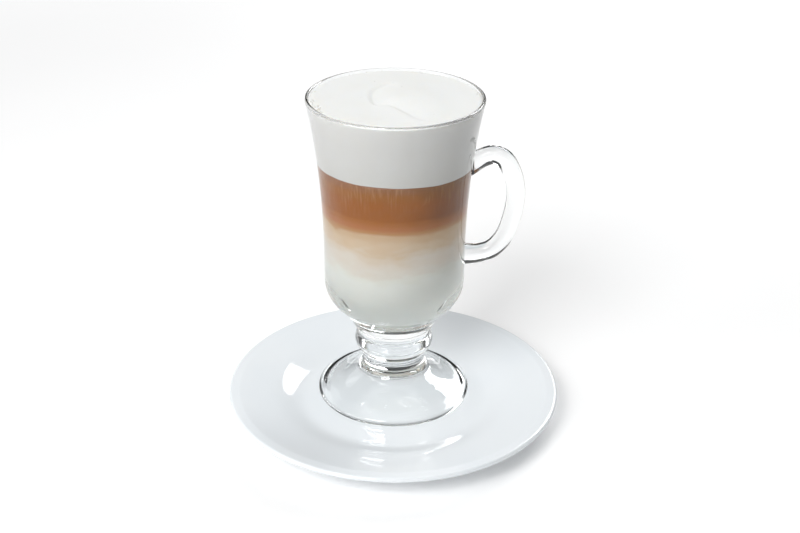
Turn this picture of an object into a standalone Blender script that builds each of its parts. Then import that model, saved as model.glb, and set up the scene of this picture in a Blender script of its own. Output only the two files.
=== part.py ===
"""Layered latte in a footed glass mug with a side handle, on a round porcelain saucer.

The model stands on z = 0, with the origin under the saucer's centre and the handle
towards +X. The mug is one piece of pressed glass: foot, stem, bowl and handle. The drink
is four solids of revolution that lie on each other inside it, from the steamed milk at
the bottom to the foam level with the rim. All sizes are in metres.
"""

import math

import bmesh
import bpy
import numpy as np

# The hair of space that touching pieces keep between them
GAP = 0.0003
# Straight sides of a turned piece, all round
MUG_SIDES = 52
SAUCER_SIDES = 64

# The saucer
SAUCER_RADIUS = 0.0790
SAUCER_RIM_TOP = 0.0133
SAUCER_WELL_TOP = 0.0067
SAUCER_LIP = 0.0013
# Its section as (radius, height) points: under the well, down and up the foot ring, along
# the sloping underside, and above from inside the lip down to the edge of the flat well
UNDER_WELL = ((0, 0.0030), (0.0415, 0.0028), (0.0430, 0.0020))
FOOT_RING = ((0.0435, 0), (0.0465, 0), (0.0475, 0.0012), (0.0479, 0.0030))
SAUCER_UNDERSIDE = ((0.0530, 0.0048), (0.0640, 0.0070), (0.0757, 0.0099))
SAUCER_SLOPE = (
    (0.0740, 0.01255),
    (0.0660, 0.0110),
    (0.0570, 0.0096),
    (0.0505, 0.0084),
    (0.0470, 0.0073),
    (0.0440, SAUCER_WELL_TOP),
)

# The mug stands a little behind the saucer's centre, on the flat of the well
MUG_BACK = 0.0060
MUG_BASE = SAUCER_WELL_TOP + GAP
MUG_HEIGHT = 0.1500

# Heights and radii of the mug from here on are counted from its own base and axis
FOOT_RADIUS = 0.0364
FOOT_EDGE = 0.0020
PUNT_RADIUS = 0.0315
PUNT_DEPTH = 0.0125
PUNT_POWER = 1.4
# The foot's upper side sweeps in to the narrow neck
FOOT_SWEEP = (
    (0.0330, 0.0046),
    (0.0290, 0.0062),
    (0.0240, 0.0087),
    (0.0190, 0.0122),
    (0.0155, 0.0155),
    (0.0142, 0.0190),
    (0.0144, 0.0225),
)
# The rounded collar above the neck
COLLAR = (
    (0.0152, 0.0234),
    (0.0176, 0.0248),
    (0.0187, 0.0276),
    (0.0183, 0.0302),
    (0.0178, 0.0322),
)
# Under the bowl the glass widens slowly to a crease, then fast towards the hip
UNDER_BOWL = ((0.0184, 0.0352), (0.0195, 0.0384), (0.0214, 0.0420), (0.0240, 0.0452))
HIP_RADIUS = 0.03275
HIP_HEIGHT = 0.0610
HIP_CURVE = 0.0165
HIP_START = -49
FLARE_START = 0.0700
RIM_RADIUS = 0.0400
FLARE_POWER = 2.3
LIP_ROUND = 0.0009

# The wall is thinnest at the lip, and the bowl's floor is a deep round dish
WALL_AT_LIP = 2 * LIP_ROUND
WALL_AT_HIP = 0.0036
WALL_GROWTH = 0.0600
DISH_TOP = 0.0705
FLOOR_HEIGHT = 0.0507
DISH_RINGS = 8

# The handle's middle line in the mug's XZ plane, from its upper root to its lower one
HANDLE_ROUTE = (
    (0.0332, 0.1182),
    (0.0365, 0.1196),
    (0.0405, 0.1217),
    (0.0450, 0.1225),
    (0.0503, 0.1193),
    (0.0543, 0.1100),
    (0.0549, 0.0990),
    (0.0516, 0.0848),
    (0.0460, 0.0766),
    (0.0395, 0.0737),
    (0.0308, 0.0731),
)
# At both roots the section stands square to the wall that it is fused into
HANDLE_LEAVES_WALL = (0.99, -0.10)
HANDLE_MEETS_WALL = (-1.0, 0.0)
HANDLE_STEPS = 3
HANDLE_SIDES = 14
HANDLE_HALF_THICK = 0.0043
HANDLE_HALF_WIDE = 0.0039
UPPER_ROOT_FLARE = 0.55
LOWER_ROOT_FLARE = 0.15
ROOT_REACH = 0.08
HANDLE_SQUARENESS = 2.3

# Heights where one layer of the drink ends and the next begins
MILK_TOP = 0.0840
BLEND_TOP = 0.0960
COFFEE_TOP = 0.1190
FOAM_EDGE = 0.1490
# Rings of the wall beside each layer, shared by the mug and the drink
MILK_RINGS = 1
BLEND_RINGS = 1
COFFEE_RINGS = 2
FOAM_WALL_RINGS = 5

# The foam's top: a low mound beside a shallow fold that runs in an S
FOAM_RINGS = 10
MOUND_CENTRE = (0.0100, -0.0030)
MOUND_SPREAD = (0.0150, 0.0190)
MOUND_RISE = 0.0012
FOLD_ROUTE = (
    (-0.0085, 0.0187),
    (-0.0117, 0.0045),
    (-0.0090, -0.0095),
    (-0.0030, -0.0090),
    (0.0030, -0.0170),
    (0.0091, -0.0265),
    (0.0160, -0.0290),
)
FOLD_DEPTH = 0.0007
FOLD_WIDTH = 0.0024

# Colours, and the angle in degrees past which an edge stays sharp
GLASS_COLOUR = (1.0, 1.0, 1.0)
GLAZE_COLOUR = (0.82, 0.83, 0.83)
MILK_COLOUR = (0.80, 0.76, 0.68)
BLEND_COLOUR = (0.74, 0.58, 0.42)
COFFEE_COLOUR = (0.36, 0.17, 0.08)
FOAM_COLOUR = (0.90, 0.88, 0.84)
DRINK_ROUGHNESS = 0.35
SHARP_ANGLE = 40


def clear_scene():
    """Remove every object, so that the model starts from nothing."""
    for old in list(bpy.data.objects):
        bpy.data.objects.remove(old, do_unlink=True)


def smooth_line(points, steps):
    """Points on a Catmull-Rom curve through the given points, with steps to each span."""
    knots = np.array(points, dtype=float)
    before = 2 * knots[0] - knots[1]
    after = 2 * knots[-1] - knots[-2]
    padded = np.vstack([before, knots, after])
    line = []
    for span in range(len(knots) - 1):
        p0, p1, p2, p3 = padded[span:span + 4]
        for step in range(steps):
            t = step / steps
            bend = (2 * p0 - 5 * p1 + 4 * p2 - p3) * t ** 2
            twist = (3 * p1 - p0 - 3 * p2 + p3) * t ** 3
            line.append(0.5 * (2 * p1 + (p2 - p0) * t + bend + twist))
    line.append(knots[-1])
    return [tuple(point) for point in line]


def arc(centre, radius, start, end, steps):
    """Points on a round arc, from the start angle to the end angle in degrees."""
    turns = np.radians(np.linspace(start, end, steps + 1))
    return [(centre[0] + radius * math.cos(a), centre[1] + radius * math.sin(a)) for a in turns]


def outer_radius(height):
    """The bowl's outer radius: straight above the hip, then flaring as a power of the height."""
    rise = max(height - FLARE_START, 0) / (MUG_HEIGHT - LIP_ROUND - FLARE_START)
    return HIP_RADIUS + (RIM_RADIUS - HIP_RADIUS) * rise ** FLARE_POWER


def inner_radius(height):
    """The bowl's inner radius: the wall grows from the lip down, then an ellipse ends it."""
    below_lip = (MUG_HEIGHT - LIP_ROUND - height) / WALL_GROWTH
    growth = min(max(below_lip, 0), 1)
    wall = WALL_AT_LIP + (WALL_AT_HIP - WALL_AT_LIP) * growth * (2 - growth)
    straight = outer_radius(max(height, DISH_TOP)) - wall
    depth = (DISH_TOP - height) / (DISH_TOP - FLOOR_HEIGHT)
    return straight * math.sqrt(1 - min(max(depth, 0), 1) ** 2)


def ring_heights(low, high, rings):
    """Heights of the wall's rings from one boundary of the drink up to the next."""
    return list(np.linspace(low, high, rings + 1))


def dish_heights(steps):
    """Heights down the round floor, closer together where the ellipse turns flat."""
    turns = np.linspace(0, math.pi / 2, steps + 1)
    return [DISH_TOP - (DISH_TOP - FLOOR_HEIGHT) * math.sin(a) for a in turns]


def new_material(name, colour, roughness, transmission=0.0, coat=0.0):
    """A Principled material in one colour."""
    material = bpy.data.materials.new(name)
    material.use_nodes = True
    shader = material.node_tree.nodes["Principled BSDF"]
    shader.inputs["Base Color"].default_value = (*colour, 1.0)
    shader.inputs["Roughness"].default_value = roughness
    shader.inputs["Metallic"].default_value = 0.0
    shader.inputs["IOR"].default_value = 1.5
    shader.inputs["Transmission Weight"].default_value = transmission
    shader.inputs["Coat Weight"].default_value = coat
    return material


def finish_object(name, bm, material, place):
    """Close a bmesh into a smooth-shaded object at its place."""
    bmesh.ops.recalc_face_normals(bm, faces=bm.faces)
    mesh = bpy.data.meshes.new(name)
    bm.to_mesh(mesh)
    bm.free()
    mesh.materials.append(material)
    mesh.shade_smooth()
    mesh.set_sharp_from_angle(angle=math.radians(SHARP_ANGLE))
    piece = bpy.data.objects.new(name, mesh)
    piece.location = place
    bpy.context.scene.collection.objects.link(piece)
    return piece


def turned(name, outline, sides, material, place):
    """Spin an outline of (radius, height) points about Z into one closed piece.

    The outline starts and ends on the axis.
    """
    bm = bmesh.new()
    corners = [bm.verts.new((radius, 0, height)) for radius, height in outline]
    edges = [bm.edges.new(pair) for pair in zip(corners, corners[1:])]
    bmesh.ops.spin(
        bm,
        geom=corners + edges,
        cent=(0, 0, 0),
        axis=(0, 0, 1),
        angle=2 * math.pi,
        steps=sides,
        use_merge=True,
    )
    bmesh.ops.remove_doubles(bm, verts=bm.verts, dist=1e-6)
    return finish_object(name, bm, material, place)


def mug_outline():
    """Half the mug's section: under the foot, up the outside, over the lip, down the inside."""
    punt_radii = PUNT_RADIUS * np.array([0, 0.2, 0.4, 0.6, 0.8, 0.93, 1])
    underside = [(r, PUNT_DEPTH * (1 - (r / PUNT_RADIUS) ** PUNT_POWER)) for r in punt_radii]
    foot_edge = arc((FOOT_RADIUS - FOOT_EDGE, FOOT_EDGE), FOOT_EDGE, -90, 60, 5)
    foot = [*foot_edge, *FOOT_SWEEP, *smooth_line(COLLAR, 2)]
    hip = arc((HIP_RADIUS - HIP_CURVE, HIP_HEIGHT), HIP_CURVE, HIP_START, 0, 5)
    flare_heights = np.linspace(FLARE_START, MUG_HEIGHT - LIP_ROUND, 8)
    flare = [(outer_radius(z), z) for z in flare_heights]
    lip = arc((RIM_RADIUS - LIP_ROUND, MUG_HEIGHT - LIP_ROUND), LIP_ROUND, 30, 150, 4)
    beside_drink = (
        ring_heights(DISH_TOP, MILK_TOP, MILK_RINGS)[1:]
        + ring_heights(MILK_TOP, BLEND_TOP, BLEND_RINGS)[1:]
        + ring_heights(BLEND_TOP, COFFEE_TOP, COFFEE_RINGS)[1:]
        + ring_heights(COFFEE_TOP, MUG_HEIGHT - LIP_ROUND, FOAM_WALL_RINGS)[1:])
    wall = [(inner_radius(z), z) for z in beside_drink[::-1]]
    dish = [(inner_radius(z), z) for z in dish_heights(DISH_RINGS)]
    return underside + foot + [*UNDER_BOWL, *hip] + flare + lip + wall + dish


def handle_bar(material, place):
    """The handle: a rounded section carried along its route, wider at both roots."""
    route = np.array(smooth_line(HANDLE_ROUTE, HANDLE_STEPS))
    run = np.linspace(0, 1, len(route))
    near_upper = np.exp(-(run / ROOT_REACH) ** 2)
    near_lower = np.exp(-((1 - run) / ROOT_REACH) ** 2)
    ahead = np.gradient(route, axis=0)
    ahead /= np.linalg.norm(ahead, axis=1)[:, None]
    ahead += near_upper[:, None] * (HANDLE_LEAVES_WALL - ahead)
    ahead += near_lower[:, None] * (HANDLE_MEETS_WALL - ahead)
    ahead /= np.linalg.norm(ahead, axis=1)[:, None]
    across = np.column_stack([-ahead[:, 1], ahead[:, 0]])
    flare = UPPER_ROOT_FLARE * near_upper + LOWER_ROOT_FLARE * near_lower
    thick = HANDLE_HALF_THICK * (1 + flare)
    wide = HANDLE_HALF_WIDE * (1 + flare / 2)
    turns = 2 * math.pi * np.arange(HANDLE_SIDES) / HANDLE_SIDES
    power = 2 / HANDLE_SQUARENESS
    section_u = np.sign(np.cos(turns)) * np.abs(np.cos(turns)) ** power
    section_v = np.sign(np.sin(turns)) * np.abs(np.sin(turns)) ** power

    bm = bmesh.new()
    rings = []
    for point, side, half_t, half_w in zip(route, across, thick, wide):
        ring = []
        for u, v in zip(section_u, section_v):
            x, z = point + side * half_t * u
            ring.append(bm.verts.new((x, half_w * v, z)))
        rings.append(ring)
    for ring, following in zip(rings, rings[1:]):
        for k in range(HANDLE_SIDES):
            after = (k + 1) % HANDLE_SIDES
            bm.faces.new((ring[k], ring[after], following[after], following[k]))
    bm.faces.new(rings[0])
    bm.faces.new(rings[-1])
    return finish_object("handle_bar", bm, material, place)


def glass_mug(place):
    """The turned glass body with the handle fused to its wall."""
    clear = new_material("clear_glass", GLASS_COLOUR, 0.0, transmission=1.0)
    mug = turned("glass_mug", mug_outline(), MUG_SIDES, clear, place)
    handle = handle_bar(clear, place)
    handle.hide_render = True
    handle.display_type = "WIRE"
    fuse = mug.modifiers.new("fuse handle", "BOOLEAN")
    fuse.operation = "UNION"
    fuse.solver = "EXACT"
    fuse.object = handle
    return mug


def drink_side(low, high, rings):
    """The side of a layer, a gap inside the wall and a gap over the layer below."""
    heights = ring_heights(low, high, rings)
    heights[0] += GAP
    return [(inner_radius(z) - GAP, z) for z in heights]


def layer(name, low, high, rings, colour, place):
    """One layer of the drink between two flat boundaries."""
    side = drink_side(low, high, rings)
    material = new_material(name, colour, DRINK_ROUGHNESS)
    return turned(name, [(0, side[0][1]), *side, (0, high)], MUG_SIDES, material, place)


def steamed_milk(place):
    """The lowest layer, which fills the bowl's round floor."""
    shrink = 1 - GAP / inner_radius(DISH_TOP)
    floor = [(inner_radius(z) * shrink, z + GAP) for z in dish_heights(DISH_RINGS)[::-1]]
    side = drink_side(DISH_TOP, MILK_TOP, MILK_RINGS)[1:]
    material = new_material("steamed_milk", MILK_COLOUR, DRINK_ROUGHNESS)
    return turned("steamed_milk", [*floor, *side, (0, MILK_TOP)], MUG_SIDES, material, place)


def foam_height(x, y):
    """Height of the foam's top over its edge: a soft mound less the S-shaped fold.

    Both fade out towards the wall.
    """
    radius = np.hypot(x, y) / inner_radius(FOAM_EDGE)
    fade = np.clip(1 - radius ** 4, 0, 1)
    mound = MOUND_RISE * np.exp(
        -((x - MOUND_CENTRE[0]) / MOUND_SPREAD[0]) ** 2
        - ((y - MOUND_CENTRE[1]) / MOUND_SPREAD[1]) ** 2)
    fold_line = np.array(smooth_line(FOLD_ROUTE, 6))
    away = np.hypot(x[:, None] - fold_line[:, 0], y[:, None] - fold_line[:, 1]).min(axis=1)
    fold = FOLD_DEPTH * np.exp(-(away / FOLD_WIDTH) ** 2)
    return fade * (mound - fold)


def milk_foam(place):
    """The foam on top: a turned block whose top rings are lifted into the low relief."""
    side = drink_side(COFFEE_TOP, MUG_HEIGHT - LIP_ROUND, FOAM_WALL_RINGS)[:-1]
    edge = inner_radius(FOAM_EDGE) - GAP
    side.append((edge, FOAM_EDGE))
    top = [(edge * (1 - k / FOAM_RINGS), FOAM_EDGE) for k in range(1, FOAM_RINGS + 1)]
    material = new_material("milk_foam", FOAM_COLOUR, 0.6)
    foam = turned("milk_foam", [(0, side[0][1]), *side, *top], MUG_SIDES, material, place)
    points = np.array([tuple(vertex.co) for vertex in foam.data.vertices])
    on_top = points[:, 2] > FOAM_EDGE - 1e-6
    points[on_top, 2] += foam_height(points[on_top, 0], points[on_top, 1])
    foam.data.vertices.foreach_set("co", points.ravel())
    foam.data.update()
    return foam


def saucer_outline():
    """Half the saucer's section: under the well, foot ring, underside, lip, slope, well."""
    lip = arc((SAUCER_RADIUS - SAUCER_LIP, SAUCER_RIM_TOP - SAUCER_LIP), SAUCER_LIP, -70, 110, 5)
    return [*UNDER_WELL, *FOOT_RING, *SAUCER_UNDERSIDE, *lip, *SAUCER_SLOPE, (0, SAUCER_WELL_TOP)]


def saucer():
    """The white saucer, with a foot ring under it and a flat well that takes the mug."""
    glaze = new_material("white_glaze", GLAZE_COLOUR, 0.08, coat=0.5)
    return turned("saucer", saucer_outline(), SAUCER_SIDES, glaze, (0, 0, 0))


def build():
    """Make every piece in its place."""
    clear_scene()
    place = (0, MUG_BACK, MUG_BASE)
    saucer()
    glass_mug(place)
    steamed_milk(place)
    layer("blend_layer", MILK_TOP, BLEND_TOP, BLEND_RINGS, BLEND_COLOUR, place)
    layer("coffee_layer", BLEND_TOP, COFFEE_TOP, COFFEE_RINGS, COFFEE_COLOUR, place)
    milk_foam(place)


build()
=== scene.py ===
# %% [markdown]
# # A layered latte in a footed glass mug
# The drink stands in layers: steamed milk at the bottom, a creamy blend, a band of coffee
# and a thick cap of milk foam. It is served in a pressed glass mug with a foot, a short
# collared stem and a side handle, on a white porcelain saucer.
#
# This lesson dresses a fixed set of solids, the frame. Each step below makes one piece or
# one finish. All lengths are in metres, +Z is up, and the handle points to +X.

import bpy
import numpy as np
from mathutils import Matrix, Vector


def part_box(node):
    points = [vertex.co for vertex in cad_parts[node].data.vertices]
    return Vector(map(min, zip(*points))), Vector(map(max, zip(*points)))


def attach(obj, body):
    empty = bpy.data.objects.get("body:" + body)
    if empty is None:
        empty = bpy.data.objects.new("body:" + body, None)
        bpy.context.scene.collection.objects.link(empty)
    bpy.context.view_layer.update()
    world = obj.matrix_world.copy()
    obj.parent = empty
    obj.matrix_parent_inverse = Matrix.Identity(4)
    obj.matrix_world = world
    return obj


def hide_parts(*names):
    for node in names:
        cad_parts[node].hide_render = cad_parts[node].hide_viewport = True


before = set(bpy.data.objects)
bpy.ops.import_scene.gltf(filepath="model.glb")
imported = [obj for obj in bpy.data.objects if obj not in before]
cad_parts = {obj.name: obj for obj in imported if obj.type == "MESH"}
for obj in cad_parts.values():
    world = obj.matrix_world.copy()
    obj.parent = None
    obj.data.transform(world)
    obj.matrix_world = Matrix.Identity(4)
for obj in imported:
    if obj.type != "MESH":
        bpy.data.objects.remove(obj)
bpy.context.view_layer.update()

scene = bpy.context.scene


def in_mm(lengths):
    """The lengths in millimetres, rounded for printing."""
    return [round(1000 * float(length), 1) for length in lengths]


print("frame nodes:", sorted(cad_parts))

# %% [markdown]
# ## Where the pieces stand
# A real mug is measured from its base and its axis. Here both are read from the box of the
# frame's mug: the rim is the widest part across Y, so the middle of that side is the axis.
# The saucer's size comes from its own box in the same way. Every piece is placed by these
# few values, so none has to be moved by eye.

# %% Axis, base and sizes read from the frame
mug_low, mug_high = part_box("glass_mug")
saucer_low, saucer_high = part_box("saucer")
MUG_PLACE = np.array([0.0, (mug_low.y + mug_high.y) / 2, mug_low.z])
MUG_HEIGHT = mug_high.z - mug_low.z
RIM_RADIUS = (mug_high.y - mug_low.y) / 2
SAUCER_RADIUS = (saucer_high.x - saucer_low.x) / 2
SAUCER_RIM_TOP = saucer_high.z
print("mug axis and base in mm:", in_mm(MUG_PLACE))
print("mug height and rim radius in mm:", in_mm([MUG_HEIGHT, RIM_RADIUS]))

# %% [markdown]
# ## Lines: the profiles that get turned
# A turned piece is drawn as half of its section. A few points carry the shape, and a curve
# through them fills in the rest. Round stretches are true arcs, so they need no points.

# %% Drawing a line
def smooth_line(points, steps):
    """A Catmull-Rom curve: on each span a cubic in t that passes through both knots,
    with the slope at a knot set by the knots beside it."""
    knots = np.array(points, dtype=float)
    ends = 2 * knots[[0, -1]] - knots[[1, -2]]
    padded = np.vstack([ends[:1], knots, ends[1:]])
    spans = len(knots) - 1
    p0, p1, p2, p3 = (padded[k:k + spans, None] for k in range(4))
    t = (np.arange(steps) / steps)[None, :, None]
    bend = (2 * p0 - 5 * p1 + 4 * p2 - p3) * t ** 2
    twist = (3 * p1 - p0 - 3 * p2 + p3) * t ** 3
    curve = 0.5 * (2 * p1 + (p2 - p0) * t + bend + twist)
    return np.vstack([curve.reshape(-1, knots.shape[1]), knots[-1:]])


def arc(centre, radius, start, end, steps=24):
    """A round arc: the centre plus the radius times (cos a, sin a), a in degrees."""
    turns = np.radians(np.linspace(start, end, steps + 1))
    return np.array(centre) + radius * np.column_stack([np.cos(turns), np.sin(turns)])


def length_so_far(line):
    """The sum of the steps up to each point, which starts at 0."""
    return np.concatenate([[0], np.cumsum(np.hypot(*np.diff(line, axis=0).T))])


print("a half circle of radius 1 measures", round(length_so_far(arc((0, 0), 1, 0, 180))[-1], 3))

# %% [markdown]
# ## Soft corners and well-placed rings
# Pressed glass and glazed clay have no hard edges, so a whole line is spaced evenly and then
# softened, as if fine sandpaper had gone over it. Last it is thinned to the number of rings
# that the mesh can afford, with more of them where the line bends.

# %% Softening and thinning a line
LINE_STEP = 0.0001
BEND_SHARE = 1.6


def evenly(line, spacing):
    """The same line with even spacing: coordinates read off against the length so far."""
    run = length_so_far(line)
    at = np.linspace(0, run[-1], int(run[-1] / spacing) + 1)
    return np.column_stack([np.interp(at, run, column) for column in line.T])


def softened(line, reach):
    """Each point becomes the average of its neighbours along the line, weighted by a bell
    curve of the given reach. The ends are mirrored outwards, so they stay where they are."""
    half = int(3 * reach / LINE_STEP)
    bell = np.exp(-0.5 * (np.arange(-half, half + 1) * LINE_STEP / reach) ** 2)
    before = 2 * line[0] - line[half:0:-1]
    after = 2 * line[-1] - line[-2:-half - 2:-1]
    padded = np.vstack([before, line, after])
    columns = [np.convolve(column, bell / bell.sum(), mode="valid") for column in padded.T]
    return np.column_stack(columns)


def thinned(line, count):
    """Fewer points: equal steps along a mix of the length and the turning of the line."""
    step = np.diff(line, axis=0)
    length = np.hypot(*step.T)
    heading = np.unwrap(np.arctan2(step[:, 1], step[:, 0]))
    turning = np.abs(np.diff(heading, prepend=heading[0]))
    share = length / length.sum() + BEND_SHARE * turning / turning.sum()
    weight = np.concatenate([[0], np.cumsum(share)])
    at = np.linspace(0, weight[-1], count)
    return np.column_stack([np.interp(at, weight, column) for column in line.T])


def finished_line(parts, softness, rings):
    """The parts joined to one line, spaced evenly, softened and thinned."""
    return thinned(softened(evenly(np.vstack(parts), LINE_STEP), softness), rings)


print("lines are worked out in steps of, in mm:", in_mm([LINE_STEP]))

# %% [markdown]
# ## From points to a mesh
# A mesh is a list of points and, for every face, the numbers of its corners. numpy works out
# whole arrays of both, and foreach_set hands them to Blender in one go, which is far quicker
# than adding points one by one. A tube of rings closed by two single points needs four
# corners for each face on its side, and three for each at its ends.

# %% Meshes from arrays
def add_mesh(name, points, quads, triangles):
    """A mesh from whole arrays: points, faces with four corners, faces with three."""
    mesh = bpy.data.meshes.new(name)
    corners = np.concatenate([quads.ravel(), triangles.ravel()])
    starts = np.concatenate([
        4 * np.arange(len(quads)), 4 * len(quads) + 3 * np.arange(len(triangles))])
    mesh.vertices.add(len(points))
    mesh.vertices.foreach_set("co", points.ravel())
    mesh.loops.add(len(corners))
    mesh.loops.foreach_set("vertex_index", corners.astype(np.int32))
    mesh.polygons.add(len(starts))
    mesh.polygons.foreach_set("loop_start", starts.astype(np.int32))
    mesh.update(calc_edges=True)
    mesh.validate()
    mesh.shade_smooth()
    piece = bpy.data.objects.new(name, mesh)
    scene.collection.objects.link(piece)
    print(name, "has", len(points), "points and", len(starts), "faces")
    return piece


def tube_faces(rings, sides):
    """Corner numbers of a tube of rings: quads around it, and a fan of triangles to the
    point before its first ring and to the point after its last."""
    ring, side = np.meshgrid(np.arange(rings - 1), np.arange(sides), indexing="ij")
    ahead = (side + 1) % sides
    quads = np.stack([
        ring * sides + side, ring * sides + ahead,
        (ring + 1) * sides + ahead, (ring + 1) * sides + side], axis=-1).reshape(-1, 4)
    k = np.arange(sides)
    after = (k + 1) % sides
    first, last = rings * sides, rings * sides + 1
    start_fan = np.column_stack([np.full(sides, first), after, k])
    end_fan = np.column_stack([np.full(sides, last), (rings - 1) * sides + k, (rings - 1) * sides + after])
    return quads, np.vstack([start_fan, end_fan])


print("a four-sided tube has these quads and triangles:", [len(faces) for faces in tube_faces(2, 4)])

# %% [markdown]
# ## From a line to a surface
# A lathe turns a profile about the axis. In numbers that is one formula for the whole
# surface: radius times cosine and sine of the angle, at the profile's height. It is worked
# out for every ring and every angle at once, and the two ends close on a single point each.

# %% Turned surfaces
def ring_points(radius, height, sides):
    """P(s, a) = (r(s) cos a, r(s) sin a, h(s)) for every ring s and equal steps of a."""
    turns = 2 * np.pi * np.arange(sides) / sides
    return np.stack([
        np.outer(radius, np.cos(turns)),
        np.outer(radius, np.sin(turns)),
        np.outer(height, np.ones(sides))], axis=-1).reshape(-1, 3)


def turned(name, outline, sides, place, lift=None):
    """A surface of revolution, moved to its place: the rings of an outline that starts and
    ends on the axis. lift gives each point (x, y, z) an extra height."""
    radius, height = outline[1:-1].T
    poles = [[0, 0, outline[0, 1]], [0, 0, outline[-1, 1]]]
    points = np.vstack([ring_points(radius, height, sides), poles])
    if lift is not None:
        points[:, 2] += lift(*points.T)
    quads, triangles = tube_faces(len(radius), sides)
    return add_mesh(name, points + place, quads, triangles)


# %% [markdown]
# ## The camera
# The photograph was taken from a little above the table with a fairly long lens, so the
# ellipses of rim and saucer look calm and the mug hardly tapers. The camera's place and
# turn were found by matching both ellipses. It has no blur, because the whole mug is sharp.

# %% Camera
CAMERA_PLACE = (0.0, -0.5445, 0.3510)
CAMERA_PITCH = 0.46759
CAMERA_YAW = 0.00483
CAMERA_ROLL = 0.00915
CAMERA_LENS = 59.29


def camera_turn(pitch, yaw, roll):
    """Columns right, up and back of a camera that looks along +Y, turned by yaw about Z,
    tipped down by pitch and rolled about its own line of sight, angles in radians."""
    ahead = np.array([np.sin(yaw) * np.cos(pitch), np.cos(yaw) * np.cos(pitch), -np.sin(pitch)])
    right = np.array([np.cos(yaw), -np.sin(yaw), 0])
    up = np.cross(right, ahead)
    rolled_right = np.cos(roll) * right + np.sin(roll) * up
    rolled_up = -np.sin(roll) * right + np.cos(roll) * up
    return np.column_stack([rolled_right, rolled_up, -ahead])


camera = bpy.data.objects.new("camera", bpy.data.cameras.new("camera"))
scene.collection.objects.link(camera)
camera.matrix_world = Matrix.Translation(CAMERA_PLACE) @ Matrix(
    camera_turn(CAMERA_PITCH, CAMERA_YAW, CAMERA_ROLL).tolist()).to_4x4()
camera.data.lens = CAMERA_LENS
scene.camera = camera
print("camera looks down by", round(float(np.degrees(CAMERA_PITCH)), 1), "degrees")

# %% [markdown]
# ## The mug's foot and stem
# The mug is pressed in one go: a bell-shaped foot, a neck, a round collar and a bowl. The dark
# and bright lines that make glass look like glass come from where its two skins bend, so the
# foot is drawn twice, as its outer line and as the hollow under it. The crease where the
# stem meets the bowl is kept sharp, since a whole row of reflections hangs on it.

# %% Lines of the foot and the stem, as radius and height
FOOT_RADIUS = 0.0364
FOOT_EDGE = 0.0020
PUNT_LINE = (
    (0, 0.0130), (0.0060, 0.0129), (0.0110, 0.0121), (0.0155, 0.0102),
    (0.0190, 0.0080), (0.0240, 0.0050), (0.0300, 0.0024), (0.0334, 0.0),
)
STEM_LINE = (
    (0.0331, 0.0051), (0.0290, 0.0065), (0.0240, 0.0088), (0.0190, 0.0122),
    (0.0158, 0.0155), (0.0148, 0.0190), (0.0152, 0.0225), (0.0166, 0.0244),
    (0.0180, 0.0262), (0.0185, 0.0285), (0.0182, 0.0310), (0.0176, 0.0330),
    (0.0172, 0.0350), (0.0174, 0.0366), (0.0190, 0.0373), (0.0198, 0.0386),
    (0.0214, 0.0420), (0.0240, 0.0452),
)
print("foot across and height of its hollow in mm:", in_mm([2 * FOOT_RADIUS, PUNT_LINE[0][1]]))

# %% [markdown]
# ## The bowl's two skins
# Above the hip the bowl rises straight and then flares like a bell, and its wall gets thinner
# towards the lip. Both skins are formulas of the height. So the drink, which has to touch the
# inner skin everywhere, can be made from the same formula later on.

# %% Radii of the bowl outside and inside
HIP_RADIUS = 0.03275
HIP_HEIGHT = 0.0610
HIP_CURVE = 0.0165
HIP_START = -49
FLARE_START = 0.0700
FLARE_POWER = 2.3
LIP_ROUND = 0.0009
LIP_HEIGHT = MUG_HEIGHT - LIP_ROUND
WALL_AT_LIP = 2 * LIP_ROUND
WALL_AT_HIP = 0.0036
WALL_GROWTH = 0.0600
DISH_TOP = 0.0760
DISH_FLOOR = 0.0490


def outer_radius(height):
    """The bowl's outside: straight above the hip, then flaring as a power of the height."""
    rise = np.maximum(height - FLARE_START, 0) / (LIP_HEIGHT - FLARE_START)
    return HIP_RADIUS + (RIM_RADIUS - HIP_RADIUS) * rise ** FLARE_POWER


def inner_radius(height):
    """The bowl's inside: the outside less a wall that grows downwards, ended by half an
    ellipse, where radius and depth are the sine and cosine of one angle."""
    growth = np.clip((LIP_HEIGHT - height) / WALL_GROWTH, 0, 1)
    wall = WALL_AT_LIP + (WALL_AT_HIP - WALL_AT_LIP) * growth * (2 - growth)
    depth = np.clip((DISH_TOP - height) / (DISH_TOP - DISH_FLOOR), 0, 1)
    return (outer_radius(np.maximum(height, DISH_TOP)) - wall) * np.sqrt(1 - depth ** 2)


def dish_line(count):
    """The bowl's inside from the top of the dish down to its middle, close-set at the end."""
    height = DISH_TOP - (DISH_TOP - DISH_FLOOR) * np.sin(np.linspace(0, np.pi / 2, count))
    return np.column_stack([inner_radius(height), height])


print("bowl radius inside in mm, at the dish and at the lip:",
      in_mm([inner_radius(DISH_TOP), inner_radius(LIP_HEIGHT)]))

# %% [markdown]
# ## The glass mug's body
# Foot, stem and bowl are joined to one line round the whole section. Turning it gives a
# closed skin with a true thickness everywhere, which is what a renderer needs to bend light
# through it as real glass does.

# %% Mug body
GLASS_SOFTNESS = 0.00025
WALL_STEPS = 120
MUG_RINGS = 330
MUG_SIDES = 240


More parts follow.
